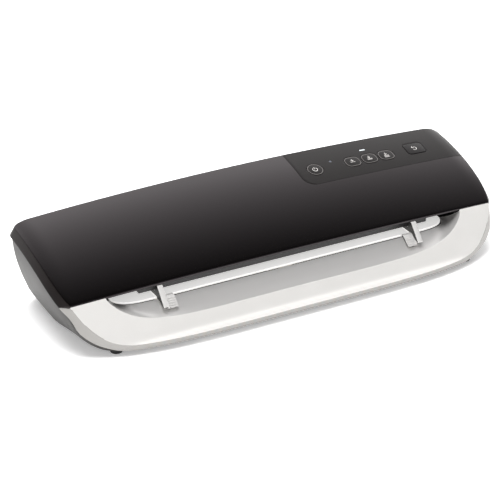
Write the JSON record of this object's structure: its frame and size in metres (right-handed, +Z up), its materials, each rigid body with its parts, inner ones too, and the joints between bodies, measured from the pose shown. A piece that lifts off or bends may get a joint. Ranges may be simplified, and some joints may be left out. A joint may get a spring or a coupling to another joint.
{
  "type": "pouch laminator",
  "caption": "Wide low desktop laminator with a bowed gloss cover, a scooped silver feed tray, coupled sliding pouch guides, push keys and geared roller pairs.",
  "frame": {"origin": "middle of the footprint, on the table under the feet", "axes": "+X to the right along the machine, +Y from the feed side to the exit side, +Z up"},
  "size_m": [0.514, 0.168, 0.1],
  "materials": {
    "cover_gloss": "polished black ABS",
    "panel_matte": "fine matte film",
    "key_matte": "fine matte, pale printed outline",
    "key_dark": "satin black",
    "lamp_lens": "clear diffusing lens",
    "tray_silver": "satin silver paint on ABS",
    "ledge_silver": "pale silver satin",
    "guide_silver": "satin silver",
    "shell_grey": "fine texture, warm grey",
    "base_grey": "fine texture, charcoal",
    "inlet_black": "matte",
    "nylon": "natural nylon",
    "steel": "turned",
    "frame_steel": "zinc-plated sheet",
    "motor_steel": "plated can",
    "heater_alloy": "extruded",
    "silicone": "smooth silicone",
    "foot_rubber": "matte",
    "board_green": "solder mask"
  },
  "bodies": {
    "housing": {"top_cover": "cover_gloss", "control_panel": "panel_matte", "lamp_ready": "lamp_lens", "lamp_speed": "lamp_lens", "front_tray": "tray_silver", "feed_ledge": "ledge_silver", "slot_bezel": "shell_grey", "pinion_stud": "steel", "end_cap_left": "shell_grey", "end_cap_right": "shell_grey", "base_pan": "base_grey", "rear_cover_upper": "shell_grey", "rear_cover_lower": "shell_grey", "exit_lip_lower": "shell_grey", "exit_lip_upper": "shell_grey", "exit_cheek_left": "shell_grey", "exit_cheek_right": "shell_grey", "power_inlet": "inlet_black", "frame_left": "frame_steel", "frame_right": "frame_steel", "heater_plate_lower": "heater_alloy", "heater_plate_upper": "heater_alloy", "heat_shield": "frame_steel", "idler_stud": "steel", "gear_motor": "motor_steel", "spring_front": "steel", "spring_rear": "steel", "control_board": "board_green", "base_screw_1": "steel", "base_screw_2": "steel", "base_screw_3": "steel", "base_screw_4": "steel", "foot_front_left": "foot_rubber", "foot_front_right": "foot_rubber", "foot_rear_left": "foot_rubber", "foot_rear_right": "foot_rubber"},
    "guide_left_carriage": {"guide_left": "guide_silver", "rack_left": "nylon"},
    "guide_right_carriage": {"guide_right": "guide_silver", "rack_right": "nylon"},
    "guide_pinion_wheel": {"guide_pinion": "nylon"},
    "button_power_key": {"button_power": "key_matte"},
    "button_thickness_1_key": {"button_thickness_1": "key_matte"},
    "button_thickness_2_key": {"button_thickness_2": "key_matte"},
    "button_thickness_3_key": {"button_thickness_3": "key_matte"},
    "button_reverse_key": {"button_reverse": "key_dark"},
    "front_lower_roller": {"roller_front_lower": "silicone", "shaft_front_lower": "steel", "gear_front_lower": "nylon"},
    "front_upper_roller": {"roller_front_upper": "silicone", "shaft_front_upper": "steel", "gear_front_upper": "nylon"},
    "rear_lower_roller": {"roller_rear_lower": "silicone", "shaft_rear_lower": "steel", "gear_rear_lower": "nylon"},
    "rear_upper_roller": {"roller_rear_upper": "silicone", "shaft_rear_upper": "steel", "gear_rear_upper": "nylon"},
    "idler": {"idler_gear": "nylon"},
    "motor_drive": {"motor_pinion": "steel"}
  },
  "joints": [
    {"name": "guide_left_slide", "type": "slide", "parent": "housing", "child": "guide_left_carriage", "axis": [-1, 0, 0], "range_m": [-0.1, 0.013]},
    {"name": "guide_right_slide", "type": "slide", "parent": "housing", "child": "guide_right_carriage", "axis": [1, 0, 0], "range_m": [-0.1, 0.013]},
    {"name": "guide_pinion_turn", "type": "hinge", "parent": "housing", "child": "guide_pinion_wheel", "pos_m": [0, -0.0318, 0.029], "axis": [0, 0, 1], "range_deg": [-126, 958]},
    {"name": "button_power_press", "type": "slide", "parent": "housing", "child": "button_power_key", "axis": [-0.0155, 0.2611, -0.9652], "range_m": [0, 0.0008], "stiffness_N_per_m": 500},
    {"name": "button_thickness_1_press", "type": "slide", "parent": "housing", "child": "button_thickness_1_key", "axis": [-0.0248, 0.2555, -0.9665], "range_m": [0, 0.0008], "stiffness_N_per_m": 500},
    {"name": "button_thickness_2_press", "type": "slide", "parent": "housing", "child": "button_thickness_2_key", "axis": [-0.029, 0.2521, -0.9673], "range_m": [0, 0.0008], "stiffness_N_per_m": 500},
    {"name": "button_thickness_3_press", "type": "slide", "parent": "housing", "child": "button_thickness_3_key", "axis": [-0.0332, 0.2482, -0.9681], "range_m": [0, 0.0008], "stiffness_N_per_m": 500},
    {"name": "button_reverse_press", "type": "slide", "parent": "housing", "child": "button_reverse_key", "axis": [-0.0414, 0.2334, -0.9715], "range_m": [0, 0.0008], "stiffness_N_per_m": 500},
    {"name": "front_lower_spin", "type": "hinge", "parent": "housing", "child": "front_lower_roller", "pos_m": [0, 0.004, 0.03], "axis": [1, 0, 0], "continuous": true},
    {"name": "front_upper_spin", "type": "hinge", "parent": "housing", "child": "front_upper_roller", "pos_m": [0, 0.004, 0.052], "axis": [1, 0, 0], "continuous": true},
    {"name": "rear_lower_spin", "type": "hinge", "parent": "housing", "child": "rear_lower_roller", "pos_m": [0, 0.044, 0.03], "axis": [1, 0, 0], "continuous": true},
    {"name": "rear_upper_spin", "type": "hinge", "parent": "housing", "child": "rear_upper_roller", "pos_m": [0, 0.044, 0.052], "axis": [1, 0, 0], "continuous": true},
    {"name": "idler_spin", "type": "hinge", "parent": "housing", "child": "idler", "pos_m": [0.183, 0.024, 0.03], "axis": [1, 0, 0], "continuous": true},
    {"name": "motor_spin", "type": "hinge", "parent": "housing", "child": "motor_drive", "pos_m": [0.183, 0.024, 0.045], "axis": [1, 0, 0], "continuous": true}
  ],
  "couplings": [
    {"joint": "guide_right_slide", "follows": "guide_left_slide", "ratio": 1},
    {"joint": "guide_pinion_turn", "follows": "guide_left_slide", "rad_per_m": -166.67},
    {"joint": "front_upper_spin", "follows": "front_lower_spin", "ratio": -1},
    {"joint": "rear_lower_spin", "follows": "front_lower_spin", "ratio": 1},
    {"joint": "rear_upper_spin", "follows": "front_lower_spin", "ratio": -1},
    {"joint": "idler_spin", "follows": "front_lower_spin", "ratio": -1.2222},
    {"joint": "motor_spin", "follows": "front_lower_spin", "ratio": 1.8333}
  ]
}
